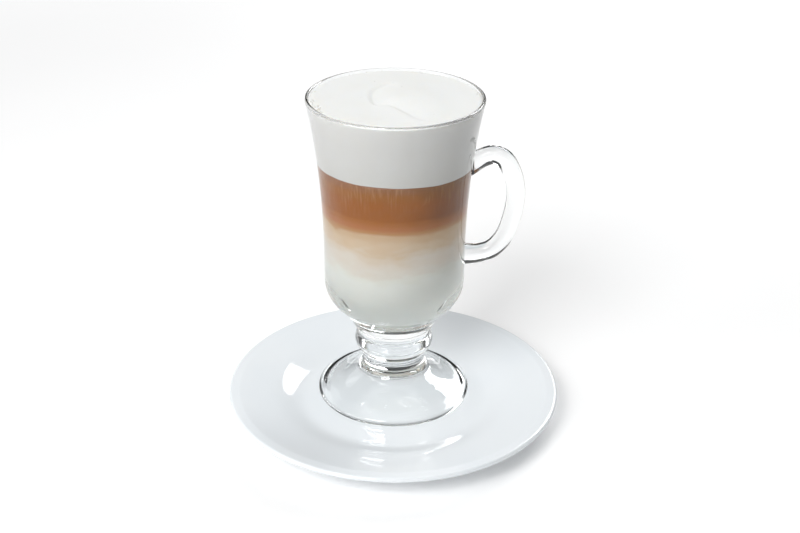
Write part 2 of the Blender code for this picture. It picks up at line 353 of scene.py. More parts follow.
def mug_outline():
    """Half the section: under the foot, up the outside, over the lip and down the inside."""
    punt = smooth_line(PUNT_LINE, steps=16)
    foot_edge = arc((FOOT_RADIUS - FOOT_EDGE, FOOT_EDGE), FOOT_EDGE, -90, 60)
    hip = arc((HIP_RADIUS - HIP_CURVE, HIP_HEIGHT), HIP_CURVE, HIP_START, 0)
    stem = smooth_line([foot_edge[-1], *STEM_LINE, hip[0]], steps=12)
    above = np.linspace(FLARE_START, LIP_HEIGHT, WALL_STEPS)
    flare = np.column_stack([outer_radius(above), above])
    lip = arc((RIM_RADIUS - LIP_ROUND, LIP_HEIGHT), LIP_ROUND, 20, 160)
    down = np.linspace(LIP_HEIGHT, DISH_TOP, WALL_STEPS)
    inside = np.column_stack([inner_radius(down), down])
    parts = [punt, foot_edge, stem[1:-1], hip, flare, lip, inside, dish_line(80)[1:]]
    return finished_line(parts, GLASS_SOFTNESS, MUG_RINGS)


glass_mug = turned("glass_mug_clear", mug_outline(), MUG_SIDES, MUG_PLACE)

# %% [markdown]
# ## The handle
# The handle leaves the bowl high up, bends down in a long oval and comes back level with the
# hip. It is a rounded, slightly square bar. As a surface it is a section carried along a
# path: at every place on the path the section lies square to it, and near both roots it
# swells, as hot glass does where it flows into the wall.

# %% Handle, as distance from the mug's axis and height
HANDLE_ROUTE = (
    (0.0332, 0.1182), (0.0365, 0.1196), (0.0405, 0.1217), (0.0450, 0.1225),
    (0.0503, 0.1193), (0.0543, 0.1100), (0.0549, 0.0990), (0.0516, 0.0848),
    (0.0460, 0.0766), (0.0395, 0.0737), (0.0308, 0.0731),
)
HANDLE_LEAVES_WALL = (0.99, -0.10)
HANDLE_MEETS_WALL = (-1.0, 0.0)
HANDLE_HALF_THICK = 0.0043
HANDLE_HALF_WIDE = 0.0039
HANDLE_SQUARENESS = 2.3
UPPER_ROOT_FLARE = 0.55
LOWER_ROOT_FLARE = 0.15
ROOT_REACH = 0.08
HANDLE_STEPS = 16
HANDLE_SIDES = 48


def unit(vectors):
    """The same directions with length 1."""
    return vectors / np.linalg.norm(vectors, axis=-1, keepdims=True)


def handle_surface():
    """P(s, a): the route at s, plus the section's two half widths times a rounded square,
    cos and sin of a raised to 2 / squareness, across the route and along Y."""
    route = smooth_line(HANDLE_ROUTE, HANDLE_STEPS)
    run = np.linspace(0, 1, len(route))
    near_upper = np.exp(-(run / ROOT_REACH) ** 2)[:, None]
    near_lower = np.exp(-((1 - run) / ROOT_REACH) ** 2)[:, None]
    ahead = unit(np.gradient(route, axis=0))
    ahead += near_upper * (HANDLE_LEAVES_WALL - ahead)
    ahead += near_lower * (HANDLE_MEETS_WALL - ahead)
    across = unit(ahead)[:, ::-1] * (-1, 1)
    flare = UPPER_ROOT_FLARE * near_upper + LOWER_ROOT_FLARE * near_lower
    turns = 2 * np.pi * np.arange(HANDLE_SIDES) / HANDLE_SIDES
    power = 2 / HANDLE_SQUARENESS
    u = np.sign(np.cos(turns)) * np.abs(np.cos(turns)) ** power
    v = np.sign(np.sin(turns)) * np.abs(np.sin(turns)) ** power
    thick = HANDLE_HALF_THICK * (1 + flare) * u
    wide = HANDLE_HALF_WIDE * (1 + flare / 2) * v
    x = route[:, :1] + across[:, :1] * thick
    z = route[:, 1:] + across[:, 1:] * thick
    rings = np.stack([x, wide, z], axis=-1)
    ends = [[route[0, 0], 0, route[0, 1]], [route[-1, 0], 0, route[-1, 1]]]
    quads, triangles = tube_faces(len(route), HANDLE_SIDES)
    points = np.vstack([rings.reshape(-1, 3), ends]) + MUG_PLACE
    return add_mesh("handle", points, quads, triangles)


handle = handle_surface()

# %% [markdown]
# ## One skin for bowl and handle
# In the mould, bowl and handle are one piece of glass. Any wall left between them would show,
# so a Boolean union joins both and keeps only the outside. Edges sharper than the set angle
# stay crisp, and all others are shaded smooth.

# %% Fuse the handle to the bowl
GLASS_SHARP = np.radians(35)


def fuse(body, extra):
    """Join two closed pieces into one skin and keep only the result's mesh."""
    union = body.modifiers.new("fuse", "BOOLEAN")
    union.operation = "UNION"
    union.solver = "EXACT"
    union.object = extra
    bpy.context.view_layer.update()
    joined = bpy.data.meshes.new_from_object(body.evaluated_get(bpy.context.evaluated_depsgraph_get()))
    body.modifiers.remove(union)
    body.data = joined
    bpy.data.objects.remove(extra, do_unlink=True)
    print(body.name, "fused:", len(joined.polygons), "faces")


fuse(glass_mug, handle)
glass_mug.data.set_sharp_from_angle(angle=GLASS_SHARP)
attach(glass_mug, "root")
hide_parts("glass_mug")

# %% [markdown]
# ## Where the layers of the drink meet
# Two liquids never part along a perfect level circle: the rings where they meet are slightly
# wavy and tilted. The levels come from the frame. The waves are a sum of a few sines around
# the ring, and they die away above and below it, so the rest of each layer stays smooth.

# %% Levels, tilts and waves of the layers
MILK_TOP, BLEND_TOP, COFFEE_TOP = (
    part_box(node)[1].z - MUG_PLACE[2] for node in ("steamed_milk", "blend_layer", "coffee_layer"))
# How far a boundary rises towards the front and towards the handle
DRINK_TILT = (0.0012, 0.0003)
FOAM_TILT = (0.0011, -0.0003)
# Each boundary: its height, how far it waves up and down, where its waves begin, its tilt
BOUNDARIES = (
    (MILK_TOP, 0.0005, 0.4, DRINK_TILT),
    (BLEND_TOP, 0.0004, 1.9, DRINK_TILT),
    (COFFEE_TOP, 0.00015, 3.1, FOAM_TILT),
)
# Each sine: how many waves run around the ring, and their share of its height
WAVES = ((2, 1.0), (5, 0.6), (11, 0.35), (23, 0.15))
WAVE_REACH = 0.0020


def wavy_boundaries(x, y, z):
    """Extra height near each boundary: its tilt and a sum of sines of the angle, faded by a
    bell curve away from the boundary and by the distance from the axis."""
    angle = np.arctan2(y, x)
    outward = np.minimum(np.hypot(x, y) / HIP_RADIUS, 1)
    height = np.zeros_like(x)
    for level, size, phase, (to_front, to_handle) in BOUNDARIES:
        wave = sum(share * np.sin(count * angle + phase * count) for count, share in WAVES)
        tilt = to_handle * np.cos(angle) - to_front * np.sin(angle)
        height += (size * wave + tilt) * np.exp(-((z - level) / WAVE_REACH) ** 2)
    return height * outward


print("milk, blend and coffee end at, in mm:", in_mm([MILK_TOP, BLEND_TOP, COFFEE_TOP]))

# %% [markdown]
# ## The layers
# In a glass the drink touches the wall all round. If a thin space of air were left there, the
# wall would act as a mirror, so each layer is made a hair wider than the bowl's inside and
# ends just within the glass. Blend and coffee are slices with a level underside, and the
# milk fills the round dish at the bottom.

# %% Milk, blend and coffee
INTO_WALL = 0.00015
DRINK_SIDES = 240
SLICE_STEPS = 26
MILK_STEPS = 16
DISC_STEPS = 12


def wall_line(heights):
    """A line up the bowl's inside, a hair into the glass."""
    return np.column_stack([inner_radius(heights) + INTO_WALL, heights])


def disc_line(edge):
    """A level line from a point at the wall in to the axis, without that first point."""
    inwards = np.linspace(1, 0, DISC_STEPS)[1:]
    return np.column_stack([edge[0] * inwards, np.full(len(inwards), edge[1])])


def drink_layer(name, under, heights, node):
    """A turned piece: the underside, the wall at the given heights, and a level top."""
    wall = wall_line(heights)
    outline = np.vstack([under, wall, disc_line(wall[-1])])
    piece = turned(name, outline, DRINK_SIDES, MUG_PLACE, lift=wavy_boundaries)
    piece.data.set_sharp_from_angle(angle=GLASS_SHARP)
    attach(piece, "root")
    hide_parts(node)
    return piece


def drink_slice(name, low, high, node):
    """A layer between two heights, with a level underside."""
    heights = np.linspace(low, high, SLICE_STEPS)
    return drink_layer(name, disc_line(wall_line(heights)[0])[::-1], heights, node)


dish = dish_line(60)[::-1] + [0, -INTO_WALL]
dish[1:, 0] += INTO_WALL
milk = drink_layer("milk", dish, np.linspace(DISH_TOP, MILK_TOP, MILK_STEPS)[1:], "steamed_milk")
blend = drink_slice("milky_coffee", MILK_TOP, BLEND_TOP, "blend_layer")
coffee = drink_slice("coffee", BLEND_TOP, COFFEE_TOP, "coffee_layer")

# %% [markdown]
# ## The foam's relief
# Fine milk foam stands level with the rim and sets almost like cream. Poured last, it keeps
# the mark of the pour: a low mound, and beside it a fold that runs in an S, steep on its
# outer side and gentle towards the mound. Such marks are low, but light that skims the foam
# shows them, so they are true relief and not only shading: a height for every x and y.

# %% Mound, fold and swells
FOAM_EDGE = MUG_HEIGHT - 0.0010
MOUND_CENTRE = (0.0110, -0.0020)
MOUND_SPREAD = (0.0170, 0.0190)
MOUND_RISE = 0.0014
FOLD_ROUTE = (
    (0.0010, 0.0185), (-0.0050, 0.0165), (-0.0090, 0.0110), (-0.0100, 0.0020),
    (-0.0080, -0.0075), (-0.0020, -0.0090), (0.0050, -0.0180), (0.0105, -0.0260),
    (0.0190, -0.0285),
)
FOLD_DEPTH = 0.0011
FOLD_STEEP_WIDTH = 0.0016
FOLD_GENTLE_WIDTH = 0.0052
FOLD_END_POWER = 0.7
WALL_FADE_POWER = 4
# Each swell: its height, how fast it waves along X and Y, and where it begins
SWELLS = ((0.00010, 190, 60, 0.3), (0.00008, -90, 230, 1.7), (0.00006, 310, 170, 4.0))


def fold_depth(x, y):
    """A bell curve of the distance from the fold's route, where the sign of the cross product
    of route and distance picks the bell's width. It dies away to both ends of the route, as a
    power of the sine of the share of the route that is run."""
    route = smooth_line(FOLD_ROUTE, steps=12)
    ahead = np.gradient(route, axis=0)
    across = x[:, None] - route[:, 0]
    along = y[:, None] - route[:, 1]
    away = np.hypot(across, along)
    near = away.argmin(axis=1)[:, None]
    turn = np.take_along_axis(ahead[:, 0] * along - ahead[:, 1] * across, near, axis=1)[:, 0]
    width = np.where(turn > 0, FOLD_GENTLE_WIDTH, FOLD_STEEP_WIDTH)
    run = np.sin(np.pi * near[:, 0] / (len(route) - 1)) ** FOLD_END_POWER
    return FOLD_DEPTH * run * np.exp(-(away.min(axis=1) / width) ** 2)


def foam_relief(x, y):
    """Height over the foam's level: a bell-shaped mound, less the fold, plus three faint
    sines, all faded out towards the wall by a power of the distance from the axis."""
    fade = np.clip(1 - (np.hypot(x, y) / inner_radius(FOAM_EDGE)) ** WALL_FADE_POWER, 0, 1)
    mound = MOUND_RISE * np.exp(
        -((x - MOUND_CENTRE[0]) / MOUND_SPREAD[0]) ** 2
        - ((y - MOUND_CENTRE[1]) / MOUND_SPREAD[1]) ** 2)
    swell = sum(size * np.sin(kx * x + ky * y + start) for size, kx, ky, start in SWELLS)
    return fade * (mound - fold_depth(x, y) + swell)


mound_top = foam_relief(*np.array([MOUND_CENTRE]).T)
print("the mound stands over the foam's level by, in mm:", in_mm(mound_top))

# %% [markdown]
# ## The foam
# At the wall the foam sinks and leaves a fine groove, deeper at the front, which draws the
# thin grey line along the lip. The piece is turned like the layers below it. Its top is then
# lifted by the relief and lowered by the groove, so both are real from every side.

# %% Foam
GROOVE_FRONT = 0.0011
GROOVE_BACK = 0.0002
GROOVE_REACH = 0.0004
FOAM_SIDE_STEPS = 30
FOAM_TOP_RINGS = 110
# A power over 1 sets the rings closer together at the wall
RINGS_TO_WALL = 1.25
FOAM_SHARP = np.radians(50)


def wall_groove(x, y):
    """Depth of the groove at the wall: it goes from the front's depth to the back's with the
    sine of the angle, and falls off as an exponential of the distance from the wall."""
    backward = 0.5 + 0.5 * np.sin(np.arctan2(y, x))
    depth = GROOVE_FRONT + (GROOVE_BACK - GROOVE_FRONT) * backward
    from_wall = np.maximum(inner_radius(FOAM_EDGE) - np.hypot(x, y), 0)
    return depth * np.exp(-from_wall / GROOVE_REACH)


def foam_lift(x, y, z):
    """The relief less the groove on the top alone, and the wavy boundary at the bottom."""
    on_top = np.isclose(z, FOAM_EDGE)
    height = wavy_boundaries(x, y, z)
    top_x, top_y = x[on_top], y[on_top]
    height[on_top] += foam_relief(top_x, top_y) - wall_groove(top_x, top_y)
    return height


def foam_outline():
    """Half the section: across the bottom, up the wall to the foot of the groove, and in over
    the top with its rings closest at the wall."""
    wall = wall_line(np.linspace(COFFEE_TOP, FOAM_EDGE - GROOVE_FRONT, FOAM_SIDE_STEPS))
    share = np.linspace(0, 1, FOAM_TOP_RINGS + 1)[1:] ** RINGS_TO_WALL
    over = np.column_stack([wall[-1, 0] * (1 - share), np.full(FOAM_TOP_RINGS, FOAM_EDGE)])
    return np.vstack([disc_line(wall[0])[::-1], wall, over])


foam = turned("foam", foam_outline(), DRINK_SIDES, MUG_PLACE, lift=foam_lift)
foam.data.set_sharp_from_angle(angle=FOAM_SHARP)
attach(foam, "root")
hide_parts("milk_foam")

# %% [markdown]
# ## Bubbles on the foam
# The foam is fine, but a few larger bubbles always collect where it meets the glass. Each is
# a small ball sunk to its shoulders. All of them are one mesh: the points of one ball are
# scaled and moved to every place at once by adding arrays. A fixed seed gives the same
# bubbles every time.

# %% Bubbles
BUBBLE_SEED = 11
# Each group: how many, how far they lie from the wall, their least and greatest radius
CLUSTER_BUBBLES, CLUSTER_REACH, CLUSTER_RADII = 30, 0.0009, (0.00016, 0.00042)
WALL_BUBBLES, WALL_REACH, WALL_RADII = 44, 0.0004, (0.00014, 0.00032)
TOP_BUBBLES, TOP_INWARD, TOP_RADII = 8, (0.003, 0.030), (0.00010, 0.00022)
CLUSTER_ANGLE = np.radians(200)
CLUSTER_SPREAD = 0.13
# How far a bubble's middle stands over the foam, as a share of its radius
BUBBLE_STANDS_OUT = 0.1
BALL_RINGS = 5
BALL_SIDES = 10


def ball(rings, sides):
    """Unit ball: (sin t cos a, sin t sin a, cos t) between two poles, lowest ring first."""
    t = np.pi * np.arange(rings, 0, -1) / (rings + 1)
    return np.vstack([ring_points(np.sin(t), np.cos(t), sides), [[0, 0, -1], [0, 0, 1]]])


def bubble_places(rng):
    """Angle, distance from the axis and radius of every bubble, drawn in three groups: a
    cluster at one place of the wall, others along all of it, and a few out on the top."""
    angle = np.concatenate([
        rng.normal(CLUSTER_ANGLE, CLUSTER_SPREAD, CLUSTER_BUBBLES),
        rng.uniform(0, 2 * np.pi, WALL_BUBBLES),
        rng.uniform(0, 2 * np.pi, TOP_BUBBLES)])
    inward = np.concatenate([
        rng.exponential(CLUSTER_REACH, CLUSTER_BUBBLES),
        rng.exponential(WALL_REACH, WALL_BUBBLES),
        rng.uniform(*TOP_INWARD, TOP_BUBBLES)])
    radius = np.concatenate([
        rng.uniform(*CLUSTER_RADII, CLUSTER_BUBBLES),
        rng.uniform(*WALL_RADII, WALL_BUBBLES),
        rng.uniform(*TOP_RADII, TOP_BUBBLES)])
    return angle, inner_radius(FOAM_EDGE) - radius - inward, radius


def bubbles():
    """Every ball's points: its radius times the unit ball, plus its middle, as one array."""
    angle, out, radius = bubble_places(np.random.default_rng(BUBBLE_SEED))
    x, y = out * np.cos(angle), out * np.sin(angle)
    z = FOAM_EDGE + foam_relief(x, y) - wall_groove(x, y) + BUBBLE_STANDS_OUT * radius
    middle = np.column_stack([x, y, z])[:, None]
    unit_ball = ball(BALL_RINGS, BALL_SIDES)
    points = (middle + radius[:, None, None] * unit_ball).reshape(-1, 3) + MUG_PLACE
    quads, triangles = tube_faces(BALL_RINGS, BALL_SIDES)
    shift = len(unit_ball) * np.arange(len(radius))[:, None, None]
    return add_mesh(
        "foam_bubbles", points, (quads + shift).reshape(-1, 4), (triangles + shift).reshape(-1, 3))


foam_bubbles = bubbles()
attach(foam_bubbles, "root")

# %% [markdown]
# ## The saucer
# The saucer is a plain round plate of glazed porcelain: a foot ring under it, a flat well for
# the mug, a step, and a broad rim that climbs gently to a rounded lip. A potter makes
# it on a wheel, so here too it is a turned profile, softened as glaze softens clay.

# %% Saucer, lines as radius and height
SAUCER_LIP = 0.0013
SAUCER_WELL_TOP = 0.0067
UNDER_WELL = ((0, 0.0030), (0.0415, 0.0028), (0.0430, 0.0020))
FOOT_RING = ((0.0435, 0), (0.0465, 0), (0.0475, 0.0012), (0.0479, 0.0030))
SAUCER_UNDERSIDE = ((0.0530, 0.0048), (0.0640, 0.0070), (0.0757, 0.0099))
WELL_RADIUS = 0.0400
RIM_SLOPE = 0.165
SLOPE_LET_IN = 0.0080
COVE_SLOPE = 0.141
COVE_RADIUS = 0.0510
COVE_REACH = 0.0058
CURL_RADIUS = 0.0740
SAUCER_SOFTNESS = 0.0004
SAUCER_RINGS = 260
SAUCER_SIDES = 288


def saucer_top(count):
    """The upper side from the well to where the lip curls up. Its slope grows to the rim's
    slope by a smooth step, 3 t^2 - 2 t^3, and a bell curve makes it steeper in the cove. The
    height is the well's level plus that slope summed up along the radius."""
    radius = np.linspace(WELL_RADIUS, CURL_RADIUS, count)
    t = np.clip((radius - WELL_RADIUS) / SLOPE_LET_IN, 0, 1)
    cove = COVE_SLOPE * np.exp(-((radius - COVE_RADIUS) / COVE_REACH) ** 2)
    slope = RIM_SLOPE * t ** 2 * (3 - 2 * t) + cove
    rise = np.concatenate([[0], np.cumsum((slope[1:] + slope[:-1]) / 2 * np.diff(radius))])
    return np.column_stack([radius, SAUCER_WELL_TOP + rise])


def saucer_outline():
    """Half the section: under the well, the foot ring, out to the lip and back over the top."""
    lip_centre = (SAUCER_RADIUS - SAUCER_LIP, SAUCER_RIM_TOP - SAUCER_LIP)
    lip = arc(lip_centre, SAUCER_LIP, -70, 110)
    below = smooth_line([FOOT_RING[-1], *SAUCER_UNDERSIDE, lip[0]], steps=16)
    above = saucer_top(120)[::-1]
    parts = [UNDER_WELL, FOOT_RING[:-1], below[:-1], lip, above, [(0, SAUCER_WELL_TOP)]]
    return finished_line(parts, SAUCER_SOFTNESS, SAUCER_RINGS)


saucer = turned("saucer_glazed", saucer_outline(), SAUCER_SIDES, (0, 0, 0))
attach(saucer, "root")
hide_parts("saucer")

# %% [markdown]
# ## Finishes: helpers for nodes
# A material is a small network of nodes. One helper adds a node, sets it up and wires it. The
# others are short names for the sums, shares and parts that shape every pattern.

# %% Helpers for nodes
def add(tree, kind, inputs=None, **settings):
    """Add a node of a kind, change its settings, and give its sockets values or links."""
    made = tree.nodes.new(kind)
    for name, value in settings.items():
        setattr(made, name, value)
    for name, value in (inputs or {}).items():
        if isinstance(value, bpy.types.NodeSocket):
            tree.links.new(value, made.inputs[name])
        else:
            made.inputs[name].default_value = value
    return made


def reckon(tree, operation, *values):
    """One step of arithmetic on up to three values or links."""
    return add(tree, "ShaderNodeMath", dict(enumerate(values)), operation=operation).outputs[0]


def share_between(tree, value, low, high, at_low=0.0, at_high=1.0, curve="LINEAR"):
    """From one result at the low value and below it to another at the high value and above."""
    return add(tree, "ShaderNodeMapRange", {
        "Value": value, "From Min": low, "From Max": high,
        "To Min": at_low, "To Max": at_high}, interpolation_type=curve).outputs[0]


def parts_of(tree, vector):
    """The X, Y and Z of a vector, by name."""
    return add(tree, "ShaderNodeSeparateXYZ", {"Vector": vector}).outputs


# %% [markdown]
# ## Finishes: helpers for colours and relief
# Real surfaces vary, so a finish mixes a few near colours by soft noise and tilts the light on
# its skin by a bump. With these names each finish reads as a short list of what it is made of.

# %% Helpers for colours and relief
# A colour mix node has many sockets of the same name, so these are picked by their number
MIX_SHARE, MIX_FIRST, MIX_SECOND, MIX_RESULT = 0, 6, 7, 2


def noise(tree, place, scale, detail=2.0, roughness=0.5):
    """Cloudy noise from 0 to 1 over a place. The scale is about how many clouds a metre has."""
    return add(tree, "ShaderNodeTexNoise", {
        "Vector": place, "Scale": scale, "Detail": detail, "Roughness": roughness}).outputs["Fac"]


def mixed(tree, share, first, second, blend="MIX"):
    """A share of the second colour over the first, or multiplied into it."""
    return add(tree, "ShaderNodeMix", {
        MIX_SHARE: share, MIX_FIRST: first, MIX_SECOND: second},
        data_type="RGBA", blend_type=blend).outputs[MIX_RESULT]


def colour_ramp(tree, value, stops):
    """Colours along a value from 0 to 1: stops are (place, colour)."""
    ramp = add(tree, "ShaderNodeValToRGB", {"Fac": value})
    ramp.color_ramp.interpolation = "EASE"
    while len(ramp.color_ramp.elements) < len(stops):
        ramp.color_ramp.elements.new(1.0)
    for element, (place, colour) in zip(ramp.color_ramp.elements, stops):
        element.position = place
        element.color = (*colour, 1)
    return ramp.outputs["Color"]


def bump(tree, shader, height, strength, distance):
    """Shade as if the skin had this height times this distance, without moving it."""
    relief = add(tree, "ShaderNodeBump", {"Height": height, "Strength": strength, "Distance": distance})
    tree.links.new(relief.outputs["Normal"], shader.inputs["Normal"])


def new_finish(name, **sockets):
    """A material with a Principled shader, and the place on the object that its patterns
    follow. Socket names use _ for a space."""
    material = bpy.data.materials.new(name)
    material.use_nodes = True
    tree = material.node_tree
    shader = tree.nodes["Principled BSDF"]
    for socket, value in sockets.items():
        shader.inputs[socket.replace("_", " ")].default_value = value
    return material, tree, shader, add(tree, "ShaderNodeTexCoord").outputs["Object"]


def wear(piece, material):
    """Give the piece this one finish."""
    piece.data.materials.clear()
    piece.data.materials.append(material)
    print(piece.name, "wears", material.name)


# %% [markdown]
# ## Clear glass
# Pressed glass is almost colourless, perfectly smooth to the touch and yet never quite even:
# the mould leaves slow waves in its skin, which make the dark lines along its edges waver. The
# waves are a faint, wide bump, and nothing else disturbs the glass. Clear glass throws next to
# no shadow, so the lamps' light is let straight through it to the drink and to the saucer.

# %% Glass finish
def pressed_glass():
    """Transmission with the refraction of soda glass, and a slow wave over the skin."""
    material, tree, shader, place = new_finish(
        "pressed_glass", Base_Color=(0.975, 0.985, 0.985, 1), Roughness=0.0, IOR=1.5,
        Transmission_Weight=1.0)
    waves = noise(tree, place, scale=110.0, detail=1.0, roughness=0.4)
    bump(tree, shader, waves, strength=0.10, distance=0.0006)
    return material


wear(glass_mug, pressed_glass())
glass_mug.visible_shadow = False
glass_mug.visible_diffuse = False

# %% [markdown]
# ## Colours of the drink
# Milk, blend and coffee are one liquid whose colour changes with height: grey-white milk, a
# creamy blend, a warm brown coffee, lighter at its foot and just under the foam. A ramp holds
# these colours by height, and one finish for all three layers lets them run into each other.

# %% Colours by height
# Heights above the mug's base, and the colour there
DRINK_COLOURS = (
    (0.0700, (0.563, 0.577, 0.54)),
    (0.0730, (0.55, 0.555, 0.505)),
    (0.0766, (0.53, 0.50, 0.445)),
    (0.0806, (0.525, 0.475, 0.41)),
    (0.0845, (0.505, 0.43, 0.343)),
    (0.0885, (0.475, 0.365, 0.255)),
    (0.0946, (0.434, 0.309, 0.192)),
    (0.0964, (0.347, 0.174, 0.067)),
    (0.0983, (0.318, 0.116, 0.038)),
    (0.1016, (0.27, 0.092, 0.0125)),
    (0.1030, (0.232, 0.069, 0.0035)),
    (0.1101, (0.232, 0.069, 0.0035)),
    (0.1141, (0.228, 0.078, 0.008)),
    (0.1187, (0.205, 0.086, 0.036)),
)
RAMP_LOW = DRINK_COLOURS[0][0]
RAMP_STOPS = [
    ((height - RAMP_LOW) / (COFFEE_TOP - RAMP_LOW), colour) for height, colour in DRINK_COLOURS]


def between_heights(tree, value, heights, at_low=0.0, at_high=1.0):
    """A share of the range between two heights above the mug's base."""
    low, high = (MUG_PLACE[2] + height for height in heights)
    return share_between(tree, value, low, high, at_low, at_high)


def height_in_layers(tree, place):
    """The height less the layers' tilt, so that all of a tilted boundary reads the same."""
    parts = parts_of(tree, place)
    to_front, to_handle = DRINK_TILT
    level = reckon(tree, "MULTIPLY_ADD", parts["Y"], to_front / HIP_RADIUS, parts["Z"])
    return reckon(tree, "MULTIPLY_ADD", parts["X"], -to_handle / HIP_RADIUS, level)


print("the ramp's stops lie at", [round(float(place), 2) for place, _ in RAMP_STOPS])

# %% [markdown]
# ## Wisps, streaks and painted shade on the right
# Low down the blend trails off in wisps, so the height is shifted by a cloudy noise that is
# strong there and faint higher up. Fine upright streaks run down from the foam, where milk
# drains through the coffee. The coffee on the handle's side, to the right, is darkened as
# painted shade. Each of these is one small function over the ramp's colour.

# %% Drink finish
WISP_SCALE = 52.0
WISP_FLATNESS = 2.2
WISP_SHIFT_LOW = 0.021
WISP_SHIFT_HIGH = 0.0012
WISPS_FADE = (0.090, 0.096)
STREAK_SCALE = 1250.0
STREAK_FLATNESS = 0.012
STREAK_NOISE = (0.52, 0.80)
STREAK_STRENGTH = 0.55
STREAKS_GROW = (0.101, 0.118)
STREAK_COLOUR = (0.44, 0.26, 0.14, 1)
# Painted shade: the coffee on the right, handle side is darkened by this tone
RIGHT_SIDE_SHADE_TONE = (0.70, 0.64, 0.25, 1)
RIGHT_SHADE_FROM_X = (0.006, 0.022)
RIGHT_SHADE_WAVER = 0.02
RIGHT_SHADE_HEIGHTS = (0.096, 0.102)


def flattened(tree, place, flatness):
    """The place with its height scaled: over 1 makes a pattern flat, under 1 draws it out."""
    return add(tree, "ShaderNodeMapping", {
        "Vector": place, "Scale": (1.0, 1.0, flatness)}).outputs["Vector"]


def layer_colour(tree, height, cloud):
    """The ramp's colour at the height plus the cloud times its shift there."""
    size = between_heights(tree, height, WISPS_FADE, WISP_SHIFT_LOW, WISP_SHIFT_HIGH)
    shifted = reckon(tree, "MULTIPLY_ADD", cloud, size, height)
    return colour_ramp(tree, between_heights(tree, shifted, (RAMP_LOW, COFFEE_TOP)), RAMP_STOPS)


def with_streaks(tree, colour, place, height):
    """Pale streaks where drawn-out noise is high, stronger towards the foam."""
    upright = noise(tree, flattened(tree, place, STREAK_FLATNESS), STREAK_SCALE, detail=1.0)
    thin = share_between(tree, upright, *STREAK_NOISE, at_high=STREAK_STRENGTH)
    below_foam = between_heights(tree, height, STREAKS_GROW)
    return mixed(tree, reckon(tree, "MULTIPLY", thin, below_foam), colour, STREAK_COLOUR)


def with_painted_right_shade(tree, colour, place, height, cloud):
    """Painted shade: a darker tone times the colour, by a smooth step along X that wavers with the cloud.
    """
    sideways = reckon(tree, "MULTIPLY_ADD", cloud, RIGHT_SHADE_WAVER, parts_of(tree, place)["X"])
    shaded_right = share_between(tree, sideways, *RIGHT_SHADE_FROM_X, curve="SMOOTHSTEP")
    in_coffee = between_heights(tree, height, RIGHT_SHADE_HEIGHTS)
    share = reckon(tree, "MULTIPLY", shaded_right, in_coffee)
    return mixed(tree, share, colour, RIGHT_SIDE_SHADE_TONE, blend="MULTIPLY")


def layered_drink():
    """The colour made in three steps, with a little light let under the skin."""
    material, tree, shader, place = new_finish(
        "layered_drink", Roughness=0.5, Specular_IOR_Level=0.0, Subsurface_Weight=0.15,
        Subsurface_Radius=(1.0, 0.6, 0.4), Subsurface_Scale=0.002)
    height = height_in_layers(tree, place)
    clouds = noise(tree, flattened(tree, place, WISP_FLATNESS), WISP_SCALE, detail=5.0, roughness=0.6)
    cloud = reckon(tree, "SUBTRACT", clouds, 0.5)
    colour = layer_colour(tree, height, cloud)
    colour = with_streaks(tree, colour, place, height)
    # Painted shade darkens the right, handle side of the coffee
    colour = with_painted_right_shade(tree, colour, place, height, cloud)
    tree.links.new(colour, shader.inputs["Base Color"])
    return material


drink_finish = layered_drink()
for piece in (milk, blend, coffee):
    wear(piece, drink_finish)

# %% [markdown]
# ## Milk foam
# Foam is a mass of tiny bubbles. Light wanders about inside it and comes out soft, so it has
# no hard shadow and hardly any shine. A little light is let under its skin, its white leans to
# cream in faint clouds, and two sizes of fine noise stand for bubbles too small to model. The
# foam is white on top, and its side is painted greyer as painted shade, a little darker towards
# its foot, so the finish tells the top from the side by which way the surface faces.

# %% Foam finish
# Painted shade of the foam's side: places along its height, from its foot to its top, and the grey there
FOAM_SIDE_SHADE_COLOURS = (
    (0.0, (0.472, 0.472, 0.457)),
    (0.55, (0.503, 0.503, 0.493)),
    (1.0, (0.54, 0.54, 0.53)),
)
FOAM_TOP = (0.855, 0.865, 0.85, 1)
FOAM_CREAM = (0.96, 0.94, 0.90, 1)
CREAM_NOISE = (0.35, 0.75)
CREAM_STRENGTH = 0.35
# The upward parts of the surface's direction between which the side's painted shade turns into the white
# top
SHADE_TO_TOP = (0.4, 0.7)
GRAIN_SCALE = 1500.0
PORE_SCALE = 900.0


def foam_colour_with_side_shade(tree, place):
    """Painted shade on the side, grey by height, white on the top, and cream multiplied in by clouds."""
    height = parts_of(tree, place)["Z"]
    share = between_heights(tree, height, (COFFEE_TOP, FOAM_EDGE))
    # Painted shade: the side greyer than the top, and darker towards its foot
    side = colour_ramp(tree, share, FOAM_SIDE_SHADE_COLOURS)
    facing = add(tree, "ShaderNodeNewGeometry").outputs["True Normal"]
    top = share_between(tree, parts_of(tree, facing)["Z"], *SHADE_TO_TOP)
    clouds = noise(tree, place, scale=60.0, detail=3.0)
    cream = share_between(tree, clouds, *CREAM_NOISE, at_high=CREAM_STRENGTH)
    return mixed(tree, cream, mixed(tree, top, side, FOAM_TOP), FOAM_CREAM, blend="MULTIPLY")


def foam_finish():
    """Soft white with a grey painted shade on the side, light under the skin, faint clouds of cream and a
    fine grain.
    """
    material, tree, shader, place = new_finish(
        "foam", Roughness=0.65, Specular_IOR_Level=0.12, Subsurface_Weight=0.35,
        Subsurface_Radius=(1.0, 0.9, 0.75), Subsurface_Scale=0.0025)
    tree.links.new(foam_colour_with_side_shade(tree, place), shader.inputs["Base Color"])
    grain = noise(tree, place, GRAIN_SCALE, detail=3.0, roughness=0.7)
    pores = add(tree, "ShaderNodeTexVoronoi", {
        "Vector": place, "Scale": PORE_SCALE}, feature="SMOOTH_F1").outputs["Distance"]
    bump(tree, shader, reckon(tree, "ADD", grain, pores), strength=0.15, distance=0.0002)
    return material


wear(foam, foam_finish())

